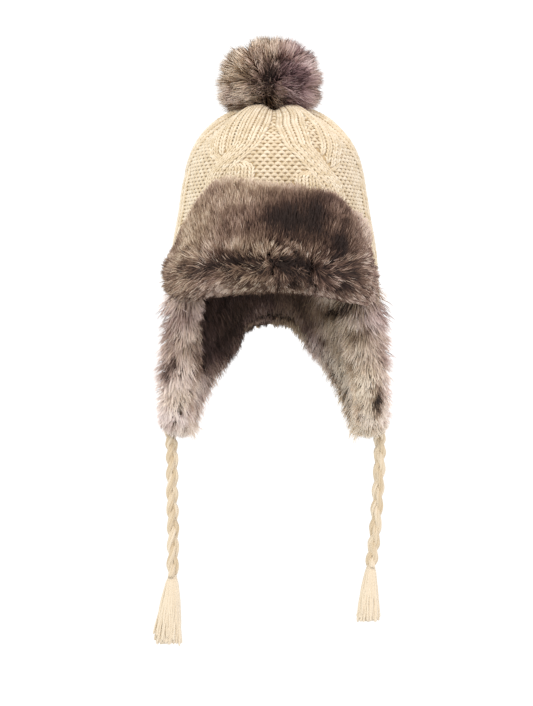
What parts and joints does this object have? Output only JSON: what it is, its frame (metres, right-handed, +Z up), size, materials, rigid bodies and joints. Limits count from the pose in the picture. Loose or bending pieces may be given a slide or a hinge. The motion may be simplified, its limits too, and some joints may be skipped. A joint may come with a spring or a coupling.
{
  "type": "cable knit earflap cap",
  "caption": "Cable knit cap with a deep faux fur turned-up front flap, fur-lined ear flaps, a fur pompom and braided yarn ties with tassels.",
  "frame": {"origin": "middle of the head opening, level with the knitted rim at the forehead", "axes": "+Z up through the pompom, -Y forwards out of the forehead, +X to the viewer's right from the front"},
  "size_m": [0.2336, 0.2586, 0.6105],
  "materials": {
    "cream_knit": "matt cream acrylic yarn, knitted in cables and purl panels",
    "brown_fur": "deep faux fur, dark brown at the root and taupe at the tip",
    "beige_fur": "deep faux fur, greyish beige with dark streaks",
    "tie_yarn": "matt cream yarn, braided and tufted"
  },
  "bodies": {
    "root": {"knit_crown": "cream_knit", "ear_flap_left": "cream_knit", "ear_flap_right": "cream_knit", "front_flap": "brown_fur", "pompom": "brown_fur", "flap_fur_left": "beige_fur", "flap_fur_right": "beige_fur", "tie_left": "tie_yarn", "tie_right": "tie_yarn", "tassel_left": "tie_yarn", "tassel_right": "tie_yarn"}
  },
  "joints": []
}
